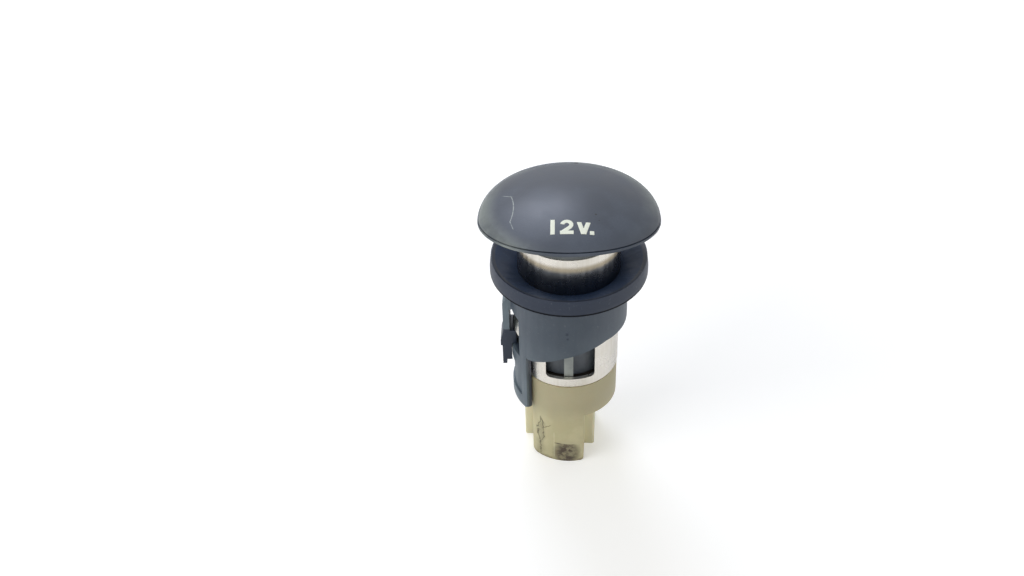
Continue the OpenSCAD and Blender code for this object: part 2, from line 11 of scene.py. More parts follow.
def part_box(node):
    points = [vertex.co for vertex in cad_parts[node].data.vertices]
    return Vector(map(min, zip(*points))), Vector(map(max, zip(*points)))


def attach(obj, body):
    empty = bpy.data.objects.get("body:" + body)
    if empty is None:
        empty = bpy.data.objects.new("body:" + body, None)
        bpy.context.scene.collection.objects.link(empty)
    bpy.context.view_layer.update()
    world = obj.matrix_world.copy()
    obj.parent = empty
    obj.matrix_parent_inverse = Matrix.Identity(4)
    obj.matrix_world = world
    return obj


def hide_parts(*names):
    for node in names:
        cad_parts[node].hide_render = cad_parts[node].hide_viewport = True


# A twelve volt power socket with a domed dust cap, dressed for a studio picture.
# Metres throughout. mm turns a size in millimetres into metres.
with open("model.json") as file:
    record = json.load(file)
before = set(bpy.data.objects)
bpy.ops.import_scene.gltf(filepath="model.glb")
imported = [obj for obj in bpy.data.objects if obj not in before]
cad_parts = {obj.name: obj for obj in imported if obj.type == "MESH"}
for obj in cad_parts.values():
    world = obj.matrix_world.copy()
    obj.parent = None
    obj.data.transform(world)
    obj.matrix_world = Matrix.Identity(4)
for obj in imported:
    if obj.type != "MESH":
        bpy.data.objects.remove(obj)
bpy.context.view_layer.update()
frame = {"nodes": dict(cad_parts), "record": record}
nodes = frame["nodes"]
mm = 0.001
print("frame loaded:", len(nodes), "nodes")


# colours and material helpers

def toLinear(hexColour):
    # sRGB hex to linear RGBA
    parts = [int(hexColour[i:i + 2], 16) / 255 for i in (1, 3, 5)]
    return [c / 12.92 if c <= 0.04045 else ((c + 0.055) / 1.055) ** 2.4 for c in parts] + [1.0]


plain = {}
absolute, times, over = ({"operation": name} for name in ("ABSOLUTE", "MULTIPLY", "DIVIDE"))
plus, minus, larger = ({"operation": name} for name in ("ADD", "SUBTRACT", "MAXIMUM"))
length = {"operation": "LENGTH"}
smooth = {"interpolation_type": "SMOOTHSTEP"}
colours = {"data_type": "RGBA"}
cloudy = (3.0, 0.55)  # detail and roughness of most noises


def join(source, socket):
    socket.id_data.links.new(source, socket)


def addNode(tree, kind, settings, *values, out=None, **named):
    # adds a node with its settings, fills its inputs in their order or by name, and gives back
    # its first output or the one asked for. A value is a number, a hex colour or a node's output.
    # TexNoise takes a place, 1 / the size of its lumps, its detail and its roughness. MapRange
    # takes a value and its two ends, and then what they turn into: 0 and 1 where it isn't said.
    made = tree.nodes.new("ShaderNode" + kind)
    for name, value in settings.items():
        setattr(made, name, value)
    sockets = [socket for socket in made.inputs if socket.enabled]
    pairs = [*zip(sockets, values), *((made.inputs[name], value) for name, value in named.items())]
    for socket, value in pairs:
        if isinstance(value, bpy.types.NodeSocket):
            join(value, socket)
        else:
            socket.default_value = toLinear(value) if isinstance(value, str) else value
    return made.outputs[out] if out else next(socket for socket in made.outputs if socket.enabled)


def newMaterial(name, values):
    # a material with a principled shader whose uniform values sit on its own sockets, and a short
    # way to add nodes to it
    made = bpy.data.materials.new(name)
    made.use_nodes = True
    shader = made.node_tree.nodes["Principled BSDF"]
    for socket, value in values.items():
        shader.inputs[socket].default_value = toLinear(value) if isinstance(value, str) else value
    return made, partial(addNode, made.node_tree), shader


def axes(add, point):
    # the place's three parts: across, back and up
    return (add("SeparateXYZ", plain, point, out=axis) for axis in "XYZ")


def planRadius(add, point):
    # distance from the bore's axis
    return add("VectorMath", length, add("VectorMath", times, point, (1.0, 1.0, 0.0)))


def lineMask(add, aside, along, line):
    # 1 on a thin curved line, falling to 0 at its sides and its two ends, in millimetres:
    # aside = at + slope * (along - from) + bend * (along - from)^2 for along from low to high
    ahead = add("Math", minus, along, line["from"] * mm)
    curve = add("Math", times, add("Math", times, ahead, ahead), line["bend"] / mm)
    slant = add("Math", times, ahead, line["slope"])
    middle = add("Math", plus, add("Math", plus, slant, curve), line["at"] * mm)
    away = add("Math", absolute, add("Math", minus, aside, middle))
    thin = add("MapRange", smooth, away, 0.0, line["widthMm"] * mm, 1.0, 0.0)
    start = add("MapRange", smooth, along, line["low"] * mm, (line["low"] + 0.8) * mm)
    end = add("MapRange", smooth, along, (line["high"] - 0.8) * mm, line["high"] * mm, 1.0, 0.0)
    return add("Math", times, thin, add("Math", times, start, end))


def spotMask(add, first, second, spot):
    # 1 on a round spot, given as its two places and its width in millimetres
    across = add("Math", minus, first, spot[0] * mm)
    along = add("Math", minus, second, spot[1] * mm)
    square = add("Math", plus, add("Math", times, across, across), add("Math", times, along, along))
    reach = (spot[2] * mm / 2) ** 2
    return add("MapRange", smooth, square, reach * 0.2, reach, 1.0, 0.0)


def paint(add, shader, height, depthMm, colour=None, roughness=None):
    # links what varies over the surface: its relief, its colour and its roughness
    relief = add("Bump", plain, Height=height, Distance=depthMm * mm)
    for source, name in ((relief, "Normal"), (colour, "Base Color"), (roughness, "Roughness")):
        if source is not None:
            join(source, shader.inputs[name])


# materials

capLook = {
    "base": "#303947", "pale": "#525c6a", "haze": "#858c86", "scuff": "#a2a8a4", "nick": "#15181d",
    "grainMm": 0.32,  # the real grain is about 0.1 mm: drawn coarser, so that it shows
    "cloudMm": 7.0, "patchMm": 0.9,  # lumps of the rubbing, and breaks in the scratches
    "hazeSheenFromMm": 15.0, "hazeSheenToMm": 19.4, "lipMm": 0.6,
    # the haze is left off the edge in front and round to the right, and is strongest at the back
    # and
    # left, where it is partly a painted sheen: it grows between these two values of back + lean *
    # across
    "hazeSheenLeastMm": -17.0, "hazeSheenFullMm": -9.0, "hazeSheenLean": -0.7,
    "nicks": [(1.6, 17.1, 1.3), (5.7, -6.5, 0.6), (6.4, -8.2, 0.4)],  # across, back and width
    # thin scratches: "at" is a place across, and "low" and "high" are how far back they run
    "scratches": [
        {"at": -11.87, "slope": 0.0, "bend": -0.035,
         "from": -3.0, "low": -7.6, "high": 2.0, "widthMm": 0.17},
        {"at": -12.42, "slope": -0.31, "bend": 0.0,
         "from": -7.35, "low": -9.9, "high": -6.8, "widthMm": 0.15},
        {"at": -12.5, "slope": -1.6, "bend": 0.0,
         "from": 1.4, "low": 1.0, "high": 2.9, "widthMm": 0.3},
    ],
}


def mouldedAbs():
    # spark-textured black ABS: an even, fine satin that greys where it has been rubbed, with a
    # pale haze towards the edge, except in front, partly real and partly a painted sheen, and a few
    # thin scratches and nicks
    made, add, shader = newMaterial("spark-textured moulded ABS", {"IOR": 1.54})
    point = add("TexCoord", plain, out="Object")
    x, y, z = axes(add, point)
    clouds = add("TexNoise", plain, point, 1 / (capLook["cloudMm"] * mm), 4.0, 0.55)
    fine = add("TexNoise", plain, point, 1 / (capLook["grainMm"] * mm), 2.0, 0.55)
    rub = add("Math", times, add("MapRange", smooth, clouds, 0.42, 0.7, 0.0, 0.3),
              add("MapRange", smooth, fine, 0.3, 0.7, 0.5, 1.0))
    colour = add("Mix", colours, rub, capLook["base"], capLook["pale"])
    # towards the edge: a pale haze, partly real haze and partly a painted sheen at the back and
    # left
    edge = add("MapRange", smooth, planRadius(add, point), capLook["hazeSheenFromMm"] * mm,
               capLook["hazeSheenToMm"] * mm)
    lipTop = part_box("cap_dome")[0][2] + capLook["lipMm"] * mm
    aboveLip = add("MapRange", smooth, z, lipTop, lipTop + 0.5 * mm)
    lean = add("Math", plus, y, add("Math", times, x, capLook["hazeSheenLean"]))
    away = add("MapRange", smooth, lean, capLook["hazeSheenLeastMm"] * mm, capLook["hazeSheenFullMm"] * mm, 0.1, 1.0)
    edge = add("Math", times, edge, add("Math", times, aboveLip, away))
    haze = add("Math", times, edge, add("MapRange", smooth, clouds, 0.3, 0.62, 0.2, 0.7))
    colour = add("Mix", colours, haze, colour, capLook["haze"])
    patches = add("TexNoise", plain, point, 1 / (capLook["patchMm"] * mm), *cloudy)
    patchy = add("MapRange", smooth, patches, 0.3, 0.6, 0.35, 1.0)
    for scratch in capLook["scratches"]:
        mask = lineMask(add, x, y, scratch)
        colour = add("Mix", colours, add("Math", times, mask, patchy), colour, capLook["scuff"])
    for nick in capLook["nicks"]:
        mask = spotMask(add, x, y, nick)
        colour = add("Mix", colours, add("Math", times, mask, patchy), colour, capLook["nick"])
    paint(add, shader, fine, 0.018, colour, add("MapRange", smooth, clouds, 0.3, 0.75, 0.33, 0.44))
    return made


plugLook = {
    "base": "#3f454d", "worn": "#5a6066", "ribHighlight": "#9ba09b", "roughness": 0.45,
    "cloudMm": 5.0, "fineMm": 0.5,  # lumps of the wear and of the fine relief
    "ribHighlightFromMm": 9.8,  # radius from which the ribs and the land get a painted highlight
    "ribHighlightBelowMm": 24.0,  # depth below the plug's top under which the painted highlight is strong; above it, painted shade
}


def mouldedPolypropylene():
    # plain black polypropylene from a polished tool: darker and a little waxy, rubbed grey by use,
    # with a painted highlight on its ribs and land
    made, add, shader = newMaterial("moulded black polypropylene", {
        "Roughness": plugLook["roughness"], "IOR": 1.49})
    point = add("TexCoord", plain, out="Object")
    clouds = add("TexNoise", plain, point, 1 / (plugLook["cloudMm"] * mm), *cloudy)
    fine = add("TexNoise", plain, point, 1 / (plugLook["fineMm"] * mm), 2.0, 0.55)
    wear = add("MapRange", smooth, clouds, 0.35, 0.7, 0.0, 0.6)
    colour = add("Mix", colours, wear, plugLook["base"], plugLook["worn"])
    # painted highlight on the ribs and the land, strong low down and fading higher up into painted
    # shade
    edge = plugLook["ribHighlightFromMm"] * mm
    height = add("SeparateXYZ", plain, point, out="Z")
    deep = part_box("cap_plug")[1][2] - plugLook["ribHighlightBelowMm"] * mm
    outer = add("MapRange", smooth, planRadius(add, point), edge, edge + 0.2 * mm)
    lower = add("MapRange", smooth, height, deep, deep + 6 * mm, 0.9, 0.3)
    uneven = add("MapRange", smooth, clouds, 0.3, 0.6, 0.75, 1.0)
    ribHighlight = add("Math", times, add("Math", times, outer, lower), uneven)
    paint(add, shader, fine, 0.015, add("Mix", colours, ribHighlight, colour, plugLook["ribHighlight"]))
    return made


bezelLook = {
    "base": "#122036", "dust": "#6a7880", "speck": "#848c8e",
    "cloudMm": 6.0, "speckMm": 0.6, "patchMm": 0.5,  # lumps of the dust, the specks and the scuffs
    "filmMm": 9.0,  # depth below the top from which the dust thickens towards the foot
    "flangeMm": 3.9, "shadeLineMm": 0.35,  # no dust on the flange; the corner right under it is left dark as a painted shade line
    "outsideMm": 13.1,  # radius from which the dust is full; the cut sides inside it are kept darker as painted shade
    "dish": "#283c5a", "dishMm": 16.7,  # painted bluish light that lifts the dish, which lies in the dome's shade, and the dish's radius
    "foot": "#070b13", "footShadeMm": 0.42,  # painted shade: the flange's lower edge, which faces down, shows as a dark line
    "marks": [(-0.4, 42.6, 1.1), (-0.2, 41.2, 0.8)],  # dark scuffs in front: across, up and width
    # the latch's hook is kept dark and its arm lighter: both stand outside this radius, and the
    # hook also fills the slot from this height and this far in, where it stays dark as painted
    # shade
    "latch": {"radiusMm": 13.62, "hookTopMm": 35.4, "armTopMm": 45.0,
              "slotMm": 31.0, "insideMm": -12.1, "halfWidthMm": 3.2},
}


def mouldedPbt():
    # satin black PBT: clean and dark on the flange, with a film of dust below it, heaviest low
    # on the leg; painted shade darkens the cut sides, the line under the flange, its lower edge and
    # the slot by the latch, and a painted bluish light lifts the dish
    made, add, shader = newMaterial("satin moulded PBT", {"IOR": 1.55})
    point = add("TexCoord", plain, out="Object")
    x, y, height = axes(add, point)
    radius = planRadius(add, point)
    clouds = add("TexNoise", plain, point, 1 / (bezelLook["cloudMm"] * mm), *cloudy)
    specks = add("TexNoise", plain, point, 1 / (bezelLook["speckMm"] * mm), 4.0, 0.55)
    low, high = (corner[2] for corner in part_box("bezel_housing"))
    # dust lies below the flange, and only thinly on the cut sides of the leg and the skirt, which
    # stay darker as painted shade
    # the painted shade line right under the flange is kept free of dust
    under = high - (bezelLook["flangeMm"] + bezelLook["shadeLineMm"]) * mm
    below = add("MapRange", smooth, height, under, under - 0.15 * mm, 0.08, 1.0)
    outer = bezelLook["outsideMm"] * mm
    cutSidesShaded = add("MapRange", smooth, radius, outer - 0.5 * mm, outer, 0.25, 1.0)
    below = add("Math", times, below, cutSidesShaded)
    # the latch's hook and arm: the hook is kept dark and the arm lighter, and the part in the slot
    # stays dark as painted shade
    latch = {key: value * mm for key, value in bezelLook["latch"].items()}
    outside = add("MapRange", smooth, radius, latch["radiusMm"], latch["radiusMm"] + 0.05 * mm)
    # inside the slot the surface is kept dark as painted shade
    slot = add("MapRange", smooth, height, latch["slotMm"] - 0.1 * mm, latch["slotMm"])
    inside = add("MapRange", smooth, x, latch["insideMm"], latch["insideMm"] - 0.1 * mm)
    slot = add("Math", times, slot, inside)
    wide = latch["halfWidthMm"]
    between = add("MapRange", smooth, add("Math", absolute, y), wide, wide + 0.1 * mm, 1.0, 0.0)
    slot = add("Math", times, slot, between)
    belowTop = add("MapRange", smooth, height, latch["hookTopMm"], latch["hookTopMm"] - 0.6 * mm)
    hook = add("Math", times, add("Math", larger, outside, slot), belowTop)
    notKeptDark = add("Math", minus, 1.0, add("Math", times, hook, 0.9))
    below = add("Math", times, below, notKeptDark)
    arm = add("Math", times, outside, add("Math", minus, 1.0, belowTop))
    armTop = latch["armTopMm"]
    arm = add("Math", times, arm,
              add("MapRange", smooth, height, armTop, armTop + 0.5 * mm, 1.0, 0.0))
    film = add("MapRange", smooth, height, high - bezelLook["filmMm"] * mm, low, 0.3, 0.8)
    film = add("Math", times, below, add("Math", larger, film, arm))
    share = add("Math", times, film, add("MapRange", smooth, clouds, 0.25, 0.75, 0.75, 1.0))
    colour = add("Mix", colours, share, bezelLook["base"], bezelLook["dust"])
    # the dish and the flange's foot are matt; the dish gets a painted bluish light, as it lies in
    # the dome's shade, and the foot a painted shade line
    foot = high - bezelLook["flangeMm"] * mm
    wall = bezelLook["dishMm"]
    dish = add("MapRange", smooth, radius, wall * mm, (wall - 0.3) * mm)
    overFoot = add("MapRange", smooth, height, foot + 0.2 * mm, foot + 0.4 * mm)
    dish = add("Math", times, dish, overFoot)
    # painted bluish light in the dish
    colour = add("Mix", colours, add("Math", times, dish, 0.8), colour, bezelLook["dish"])
    # painted shade: a dark line along the flange's lower edge
    footShadeTop = foot + bezelLook["footShadeMm"] * mm
    line = add("MapRange", smooth, height, footShadeTop + 0.08 * mm, footShadeTop - 0.08 * mm)
    line = add("Math", times, line, add("MapRange", smooth, radius, 14.5 * mm, 15 * mm))
    line = add("Math", times, line, add("MapRange", smooth, height, under, under + 0.1 * mm))
    colour = add("Mix", colours, line, colour, bezelLook["foot"])
    dull = add("Math", larger, add("Math", times, dish, 0.55), line)
    join(add("MapRange", smooth, dull, 0.0, 1.0, 0.5, 0.06), shader.inputs["Specular IOR Level"])
    # dark scuffs in front, and specks
    patches = add("TexNoise", plain, point, 1 / (bezelLook["patchMm"] * mm), *cloudy)
    patchy = add("MapRange", smooth, patches, 0.4, 0.6, 0.2, 0.8)
    patchy = add("Math", times, add("MapRange", smooth, y, -8 * mm, -9 * mm), patchy)
    for mark in bezelLook["marks"]:
        mask = add("Math", times, spotMask(add, x, height, mark), patchy)
        colour = add("Mix", colours, mask, colour, bezelLook["base"])
    bright = add("MapRange", smooth, specks, 0.62, 0.75, 0.0, 0.2)
    colour = add("Mix", colours, bright, colour, bezelLook["speck"])
    paint(add, shader, specks, 0.012, colour, add("MapRange", smooth, share, 0.0, 0.7, 0.42, 0.46))
    return made


barrelLook = {
    # stain and grime here are a painted shade and a painted reflection of the dark dish, low on the
    # tube
    "base": "#f6f1e8", "shade": "#e0d9c8", "stain": "#aa9c80", "grime": "#747981",
    "drawMm": 0.4,  # the real lines are finer than 0.1 mm: drawn coarser, so that they show
    "cloudMm": 4.0, "stretch": 0.03,  # the noise is stretched up the tube into lines
    "rimShadeFromMm": 1.3, "rimShadeToMm": 3.9, "rimShadeEndMm": 11.0,  # heights below the barrel's rim where the painted shade begins, is full and ends
}


def nickelPlatedSteel():
    # drawn steel under satin nickel: faint lines run up the tube and the gloss is soft, with a
    # painted shade and a painted reflection of the dark dish gathered at the foot of the rim, down
    # in the flange's dish
    made, add, shader = newMaterial("satin nickel plated drawn steel", {"Metallic": 1.0})
    point = add("TexCoord", plain, out="Object")
    stretched = add("Mapping", plain, point, Scale=(1.0, 1.0, barrelLook["stretch"]))
    lines = add("TexNoise", plain, stretched, 1 / (barrelLook["drawMm"] * mm), *cloudy)
    clouds = add("TexNoise", plain, point, 1 / (barrelLook["cloudMm"] * mm), *cloudy)
    worn = add("MapRange", smooth, add("Math", plus, clouds, lines), 0.8, 1.4, 0.0, 0.5)
    colour = add("Mix", colours, worn, barrelLook["base"], barrelLook["shade"])
    height = add("SeparateXYZ", plain, point, out="Z")
    # painted shade and painted reflection of the dark dish: first the stain colour, then the grime
    # colour, darker downwards
    start, full, end = (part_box("barrel_shell")[1][2] - barrelLook[key] * mm
                        for key in ("rimShadeFromMm", "rimShadeToMm", "rimShadeEndMm"))
    above = add("MapRange", smooth, height, end, end + 1 * mm)
    middle = (start + full) / 2
    stain = add("MapRange", smooth, height, start, middle, 0.0, 0.8)
    grime = add("MapRange", smooth, height, middle, full, 0.0, 0.9)
    colour = add("Mix", colours, add("Math", times, stain, above), colour, barrelLook["stain"])
    colour = add("Mix", colours, add("Math", times, grime, above), colour, barrelLook["grime"])
    paint(add, shader, clouds, 0.01, colour, add("MapRange", smooth, clouds, 0.35, 0.65, 0.26, 0.3))
    return made


def platedMetal(name, colour, roughness, spotMm=1.5):
    # rolled or plated sheet: an even metal with a slight cloud in its gloss
    made, add, shader = newMaterial(name, {
        "Base Color": colour, "Metallic": 1.0, "Roughness": roughness})
    point = add("TexCoord", plain, out="Object")
    clouds = add("TexNoise", plain, point, 1 / (spotMm * mm), *cloudy)
    gloss = add("MapRange", smooth, clouds, 0.3, 0.7, roughness - 0.06, roughness + 0.08)
    paint(add, shader, clouds, 0.004, roughness=gloss)
    return made


boardLook = {"base": "#1a1613", "fleck": "#2e2722", "mottleMm": 0.8}


def pressedPhenolic():
    # paper-filled phenolic board, near black with age, with a slight mottling
    made, add, shader = newMaterial("pressed phenolic board", {"Roughness": 0.55, "IOR": 1.6})
    point = add("TexCoord", plain, out="Object")
    clouds = add("TexNoise", plain, point, 1 / (boardLook["mottleMm"] * mm), 4.0, 0.55)
    paint(add, shader, clouds, 0.01,
          add("Mix", colours, clouds, boardLook["base"], boardLook["fleck"]))
    return made


nylonLook = {
    "base": "#bbb38b", "pale": "#c7c099", "thin": "#e8e2c0", "collarShade": "#aaa181",
    "grime": "#3a281f", "thread": "#4d4327",
    "cloudMm": 5.0, "spotMm": 1.1,  # lumps of the ageing and of the grime
    "wanderMm": 1.8,  # size of the cracks' wander, and how far they wander
    # the wings stand behind the block's front, and are thin
    "blockTopMm": 15.0, "wingsFromMm": -7.0,
    # the brown smudge low on the block's front, in millimetres
    "smudge": {"x": -0.5, "z": 2.6, "halfWidth": 2.8, "halfHeight": 3.9},
    "smudgeTop": {
        "at": 5.7, "slope": -0.05, "bend": 0.0,
        "from": -1.0, "low": -3.7, "high": 1.9, "widthMm": 0.34},
    # the crack beside it runs down in two threads with a branch; "at" is a place across the front
    "cracks": [
        {"at": -6.6, "slope": 0.19, "bend": 0.0,
         "from": 13.2, "low": 8.4, "high": 13.6, "widthMm": 0.3},
        {"at": -7.6, "slope": 0.28, "bend": 0.0,
         "from": 6.6, "low": 6.3, "high": 9.2, "widthMm": 0.32},
        {"at": -7.6, "slope": -0.5, "bend": 0.0,
         "from": 6.7, "low": 4.4, "high": 7.2, "widthMm": 0.32},
        {"at": -6.7, "slope": 0.02, "bend": 0.0,
         "from": 4.9, "low": 0.2, "high": 5.6, "widthMm": 0.34},
        {"at": -6.0, "slope": 0.0, "bend": -0.035,
         "from": 9.0, "low": 4.6, "high": 13.4, "widthMm": 0.26},
    ],
    "crackHaze": {
        "at": -6.7, "slope": 0.05, "bend": 0.0,
        "from": 6.0, "low": 0.4, "high": 12.0, "widthMm": 1.5},
    "branch": {
        "at": 9.9, "slope": 0.7, "bend": 0.0,
        "from": -6.2, "low": -7.0, "high": -3.9, "widthMm": 0.18},
    "seam": {
        "at": -3.52, "slope": 0.0, "bend": 0.0,
        "from": 0.0, "low": 0.6, "high": 9.6, "widthMm": 0.16},
}


def agedNylon():
    # natural nylon 66 gone cream with age: soft gloss and a little light through it; the thin wings
    # are painted paler as painted light and the collar round the metal darker as painted shade;
    # grime low down and in the block's cracks
    made, add, shader = newMaterial("aged natural nylon", {
        "IOR": 1.53, "Subsurface Weight": 0.1, "Subsurface Scale": 1.2 * mm})
    point = add("TexCoord", plain, out="Object")
    clouds = add("TexNoise", plain, point, 1 / (nylonLook["cloudMm"] * mm), *cloudy)
    spots = add("TexNoise", plain, point, 1 / (nylonLook["spotMm"] * mm), 5.0, 0.55)
    across, back, up = axes(add, point)
    aged = add("MapRange", smooth, clouds, 0.35, 0.7)
    colour = add("Mix", colours, aged, nylonLook["base"], nylonLook["pale"])
    top = nylonLook["blockTopMm"] * mm
    # painted shade: the collar round the metal, above the block, is darker
    collarShade = add("MapRange", smooth, up, top - 4 * mm, top + 3 * mm, 0.0, 0.8)
    colour = add("Mix", colours, collarShade, colour, nylonLook["collarShade"])
    edge = nylonLook["wingsFromMm"] * mm
    # painted light: the thin wings are paler, as if lit through
    wingLight = add("MapRange", smooth, back, edge, edge + 1 * mm, 0.0, 0.7)
    underTop = add("MapRange", smooth, up, top - 0.5 * mm, top, 1.0, 0.0)
    wingLight = add("Math", times, wingLight, underTop)
    colour = add("Mix", colours, wingLight, colour, nylonLook["thin"])
    front = add("MapRange", smooth, back, edge, edge - 1 * mm)
    # smudge: a soft blot on the front, made ragged by the spots, and grime along the foot
    smudge = nylonLook["smudge"]
    wide = add("Math", over, add("Math", minus, across, smudge["x"] * mm), smudge["halfWidth"] * mm)
    tall = add("Math", over, add("Math", minus, up, smudge["z"] * mm), smudge["halfHeight"] * mm)
    far = add("Math", plus, add("Math", times, wide, wide), add("Math", times, tall, tall))
    ragged = add("Math", times, spots, 1.6)
    stain = add("MapRange", smooth, add("Math", plus, far, ragged), 1.1, 2.7, 0.95, 0.0)
    ends = nylonLook["smudgeTop"]["at"] * mm
    cut = add("MapRange", smooth, up, ends - 0.3 * mm, ends + 0.2 * mm, 1.0, 0.15)
    stain = add("Math", times, stain, cut)
    stain = add("Math", larger, stain, lineMask(add, up, across, nylonLook["smudgeTop"]))
    foot = add("MapRange", smooth, up, 0.1 * mm, 1.2 * mm, 0.6, 0.0)
    broken = add("MapRange", smooth, spots, 0.35, 0.6, 0.55, 1.0)
    stain = add("Math", times, add("Math", larger, stain, foot), broken)
    colour = add("Mix", colours, add("Math", times, stain, front), colour, nylonLook["grime"])
    # cracks: dirty threads that wander a little with the noise
    wander = nylonLook["wanderMm"] * mm
    shake = add("Math", minus, add("TexNoise", plain, point, 1 / wander, *cloudy), 0.5)
    shake = add("Math", times, shake, wander)
    loose = add("Math", plus, across, shake)
    line = lineMask(add, add("Math", plus, up, shake), across, nylonLook["branch"])
    for crack in nylonLook["cracks"]:
        line = add("Math", larger, line, lineMask(add, loose, up, crack))
    haze = add("Math", times, lineMask(add, loose, up, nylonLook["crackHaze"]), 0.4)
    line = add("Math", times, add("Math", larger, line, haze), front)
    dirt = add("Math", times, line, add("MapRange", smooth, spots, 0.35, 0.6, 0.7, 0.95))
    colour = add("Mix", colours, dirt, colour, nylonLook["thread"])
    seam = add("Math", times, lineMask(add, across, up, nylonLook["seam"]), front)
    colour = add("Mix", colours, add("Math", times, seam, 0.45), colour, nylonLook["thin"])
    paint(add, shader, add("Math", minus, spots, line), 0.012, colour,
          add("MapRange", smooth, clouds, 0.3, 0.7, 0.36, 0.5))
    return made


inkLook = {"base": "#eef2e2", "fineMm": 0.4}


def padPrintedInk():
    # cream-white pad-printed ink: matt and just thick enough to catch its own edge
    made, add, shader = newMaterial("pad-printed white ink", {
        "Base Color": inkLook["base"], "Roughness": 0.6, "IOR": 1.5})
    point = add("TexCoord", plain, out="Object")
    fine = add("TexNoise", plain, point, 1 / (inkLook["fineMm"] * mm), 2.0, 0.55)
    paint(add, shader, fine, 0.006)
    return made


finishes = {
    "cap_plastic": mouldedAbs(),
    "plug_plastic": mouldedPolypropylene(),
    "bezel_plastic": mouldedPbt(),
    "barrel_metal": nickelPlatedSteel(),
    "spring_steel": platedMetal("rolled spring steel", "#8f8c86", 0.34),
    "zinc_steel": platedMetal("zinc plated steel", "#b9b9b4", 0.36),
    "contact_brass": platedMetal("stamped brass", "#c9a95c", 0.32),
    "tinned_brass": platedMetal("tinned brass", "#c8c4b6", 0.34),
    "phenolic": pressedPhenolic(),
    "cream_nylon": agedNylon(),
}
slotOf = {row["node"]: row["material_slot"] for row in frame["record"]["subparts"]}
for name, node in nodes.items():
    for place in node.material_slots:
        place.material = finishes[slotOf[name]]
print("materials given to", len(nodes), "nodes")


# moulded edges

edgeLook = {
    "bezel_housing": 0.26,  # bevel in millimetres
    "connector_housing": 0.3,
    "barrel_shell": 0.12,
    "cap_plug": 0.15,
}
edgeShape = {"segments": 3, "sharpDegrees": 38, "flatDegrees": 0.5, "mergeMm": 0.0005}


def softEdges(name, widthMm, body):
    # a copy of the node with its points merged and its sharp edges rounded by a small bevel
    source = nodes[name]
    mesh = source.data.copy()
    work = bmesh.new()
    work.from_mesh(mesh)
    bmesh.ops.remove_doubles(work, verts=work.verts, dist=edgeShape["mergeMm"] * mm)
    flat = math.radians(edgeShape["flatDegrees"])
    bmesh.ops.dissolve_limit(work, angle_limit=flat, verts=work.verts, edges=work.edges)
    work.to_mesh(mesh)
    work.free()
    made = bpy.data.objects.new(name + "Moulded", mesh)
    bpy.context.scene.collection.objects.link(made)
    mesh.polygons.foreach_set("use_smooth", np.ones(len(mesh.polygons), dtype=bool))
    rounding = made.modifiers.new("edges", "BEVEL")
    rounding.width = widthMm * mm
    rounding.segments = edgeShape["segments"]
    rounding.limit_method = "ANGLE"
    rounding.angle_limit = math.radians(edgeShape["sharpDegrees"])
    rounding.harden_normals = True
    rounding.use_clamp_overlap = True
    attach(made, body)
    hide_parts(name)


bodies = frame["record"]["behaviour"]["bodies"]
bodyOf = {name: body for body, members in bodies.items() for name in members}
for name, width in edgeLook.items():
    softEdges(name, width, bodyOf[name])
print("edges rounded on", len(edgeLook), "nodes")


# marking on the dome

domeLook = {"radiusMm": 19.9, "riseMm": 6.7, "edgeMm": 3.6}
markLook = {
    "cornerMm": (-3.85, -12.4),  # bottom left corner of the marking, in plan
    "tallMm": 3.95, "strokeMm": 0.92, "inkMm": 0.05, "sunkMm": 0.12,
    "steps": 24,  # points along a stroke
}


def domeHeight(x, y):
    # height = apex - R + sqrt(R^2 - x^2 - y^2): the crown is part of a ball of radius R, which
    # meets the rounded edge without a corner when
    # R = (inset^2 + rise^2 - edge^2) / (2 (rise - edge))
    edge, rise = domeLook["edgeMm"] * mm, domeLook["riseMm"] * mm
    inset = domeLook["radiusMm"] * mm - edge
    ball = (inset ** 2 + rise ** 2 - edge ** 2) / (2 * (rise - edge))
    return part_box("cap_dome")[1][2] - ball + np.sqrt(ball ** 2 - x ** 2 - y ** 2)


def inkStroke(centre, across, extra):
    # a closed strip laid on the dome. Seen from above its points are centre(s) + t * across(s),
    # with s along the stroke and t from -1 to 1. The top stands above the dome by
    # ink * (1 - t^8) and the underside is sunk below it.
    ink, sunk = (markLook["inkMm"] + extra) * mm, markLook["sunkMm"] * mm
    t = np.array((-1.0, -0.96, -0.88, -0.6, -0.2, 0.2, 0.6, 0.88, 0.96, 1.0, 0.5, -0.5))
    lift = np.where(np.arange(len(t)) < 10, ink * (1 - t ** 8), -sunk)
    plan = centre[:, None, :] + t[None, :, None] * across[:, None, :]
    plan = (plan + np.array(markLook["cornerMm"])) * mm
    z = domeHeight(plan[..., 0], plan[..., 1]) + lift
    points = np.dstack((plan, z))
    rows, ring = points.shape[:2]
    ids = np.arange(rows * ring).reshape(rows, ring)
    after = np.roll(ids, -1, axis=1)
    sides = np.stack((ids[:-1], after[:-1], after[1:], ids[1:]), axis=-1).reshape(-1, 4)
    return points.reshape(-1, 3), sides.tolist() + [ids[0].tolist(), ids[-1].tolist()]


def straightStroke(start, end, across):
    s = np.linspace(0, 1, markLook["steps"])[:, None]
    return (1 - s) * np.array(start) + s * np.array(end), np.tile(across, (markLook["steps"], 1))


